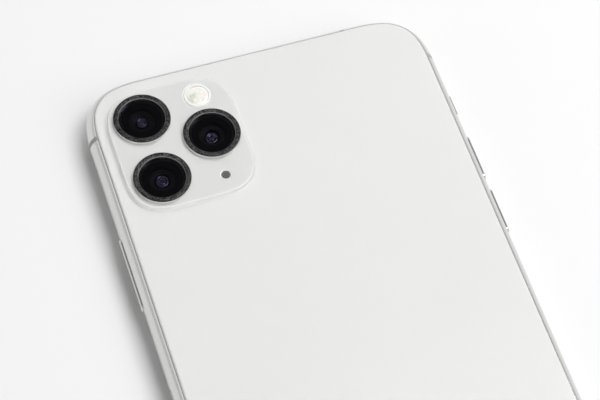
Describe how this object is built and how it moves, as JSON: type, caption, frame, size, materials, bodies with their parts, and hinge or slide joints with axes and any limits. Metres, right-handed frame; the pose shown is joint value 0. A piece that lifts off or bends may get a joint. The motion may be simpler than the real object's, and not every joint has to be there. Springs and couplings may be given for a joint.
{
  "type": "smartphone",
  "caption": "Smartphone with satin glass back, polished steel side band, raised camera plateau with lens rings, side keys and a sliding card tray.",
  "frame": {"origin": "centre of the display face, which is the lowest face", "axes": "+Z out of the back, +Y towards the earpiece end, +X towards the volume keys (right-hand side seen from the back)"},
  "size_m": [0.0786, 0.158, 0.0101],
  "materials": {
    "polished_steel": "polished",
    "split_plastic": "satin",
    "rear_glass": "satin etched, polished on the camera plateau",
    "cover_glass": "polished",
    "screen": "gloss black, screen off",
    "sheet_steel": "satin",
    "sheet_aluminium": "satin",
    "black_plastic": "satin",
    "stabiliser_plastic": "satin",
    "seal_rubber": "matte",
    "diaphragm_film": "satin",
    "ring_metal": "polished wall, dark satin face",
    "lens_glass": "polished, coated",
    "flash_glass": "faceted",
    "circuit_board": "solder mask",
    "contact_brass": "gold plated",
    "cell_wrap": "black laminate film",
    "coil_copper": "enamelled wire",
    "slug_metal": "satin"
  },
  "bodies": {
    "phone": {"band_left": "polished_steel", "band_right": "polished_steel", "band_top_left": "polished_steel", "band_top_right": "polished_steel", "band_bottom_left": "polished_steel", "band_bottom_right": "polished_steel", "rear_glass": "rear_glass", "cover_glass": "cover_glass", "lens_rings": "ring_metal", "port_housing": "black_plastic", "rear_plate": "sheet_steel", "display_panel": "screen", "display_shield": "sheet_aluminium", "display_frame": "black_plastic", "display_seal": "seal_rubber", "earpiece_mesh": "sheet_steel", "front_sensor_bracket": "sheet_steel", "front_camera": "black_plastic", "infrared_camera": "black_plastic", "dot_projector": "black_plastic", "earpiece_housing": "black_plastic", "camera_bracket": "sheet_steel", "tele_camera_housing": "sheet_steel", "wide_camera_housing": "sheet_steel", "ultrawide_camera_housing": "sheet_steel", "camera_sensor_boards": "circuit_board", "ultrawide_lens": "black_plastic", "lens_windows": "lens_glass", "flash_diffuser": "flash_glass", "flash_board": "circuit_board", "rear_mic_mesh": "sheet_steel", "silent_switch_body": "black_plastic", "key_switches": "sheet_steel", "sim_reader": "sheet_steel", "port_contacts": "contact_brass", "bottom_screws": "polished_steel", "bottom_microphones": "circuit_board", "speaker_enclosure": "black_plastic", "haptic_housing": "sheet_steel", "haptic_springs": "sheet_steel", "battery": "cell_wrap", "logic_board": "circuit_board", "charging_coil": "coil_copper", "internal_screws": "sheet_steel", "antenna_splits": "split_plastic"},
    "side_button": {"side_button": "polished_steel"},
    "volume_up_button": {"volume_up_button": "polished_steel"},
    "volume_down_button": {"volume_down_button": "polished_steel"},
    "silent_switch": {"silent_switch": "polished_steel"},
    "sim_tray": {"sim_tray": "polished_steel", "sim_tray_seal": "seal_rubber"},
    "eject_plunger": {"eject_plunger": "sheet_steel"},
    "eject_lever": {"eject_lever": "sheet_steel"},
    "tele_stabiliser": {"tele_stabiliser": "stabiliser_plastic"},
    "tele_lens": {"tele_lens": "black_plastic"},
    "wide_stabiliser": {"wide_stabiliser": "stabiliser_plastic"},
    "wide_lens": {"wide_lens": "black_plastic"},
    "speaker_diaphragm": {"speaker_diaphragm": "diaphragm_film"},
    "earpiece_diaphragm": {"earpiece_diaphragm": "diaphragm_film"},
    "haptic_mass": {"haptic_mass": "slug_metal"}
  },
  "joints": [
    {"name": "side_button_press", "type": "slide", "parent": "phone", "child": "side_button", "axis": [1, 0, 0], "range_m": [0, 0.00035], "stiffness_N_per_m": 50},
    {"name": "volume_up_press", "type": "slide", "parent": "phone", "child": "volume_up_button", "axis": [-1, 0, 0], "range_m": [0, 0.00035], "stiffness_N_per_m": 50},
    {"name": "volume_down_press", "type": "slide", "parent": "phone", "child": "volume_down_button", "axis": [-1, 0, 0], "range_m": [0, 0.00035], "stiffness_N_per_m": 50},
    {"name": "silent_switch_slide", "type": "slide", "parent": "phone", "child": "silent_switch", "axis": [0, 0, 1], "range_m": [0, 0.0011]},
    {"name": "sim_tray_slide", "type": "slide", "parent": "phone", "child": "sim_tray", "axis": [-1, 0, 0], "range_m": [0, 0.014]},
    {"name": "eject_plunger_slide", "type": "slide", "parent": "phone", "child": "eject_plunger", "axis": [1, 0, 0], "range_m": [0, 0.0013]},
    {"name": "eject_lever_turn", "type": "hinge", "parent": "phone", "child": "eject_lever", "pos_m": [-0.0197, -0.0039, 0.00405], "axis": [0, 0, 1], "range_deg": [0, 22]},
    {"name": "tele_shift", "type": "slide", "parent": "phone", "child": "tele_stabiliser", "axis": [1, 0, 0], "range_m": [-0.00015, 0.00015]},
    {"name": "tele_focus", "type": "slide", "parent": "tele_stabiliser", "child": "tele_lens", "axis": [0, 0, 1], "range_m": [0, 0.00025]},
    {"name": "wide_shift", "type": "slide", "parent": "phone", "child": "wide_stabiliser", "axis": [1, 0, 0], "range_m": [-0.00015, 0.00015]},
    {"name": "wide_focus", "type": "slide", "parent": "wide_stabiliser", "child": "wide_lens", "axis": [0, 0, 1], "range_m": [0, 0.00025]},
    {"name": "haptic_shake", "type": "slide", "parent": "phone", "child": "haptic_mass", "axis": [1, 0, 0], "range_m": [-0.0006, 0.0006], "stiffness_N_per_m": 300, "deforming": ["haptic_springs"]},
    {"name": "speaker_stroke", "type": "slide", "parent": "phone", "child": "speaker_diaphragm", "axis": [0, 0, 1], "range_m": [-0.0003, 0.0003]},
    {"name": "earpiece_stroke", "type": "slide", "parent": "phone", "child": "earpiece_diaphragm", "axis": [0, 0, 1], "range_m": [-0.00015, 0.00015]}
  ],
  "couplings": [
    {"joint": "eject_lever_turn", "follows": "eject_plunger_slide", "rad_per_m": 281.69}
  ]
}
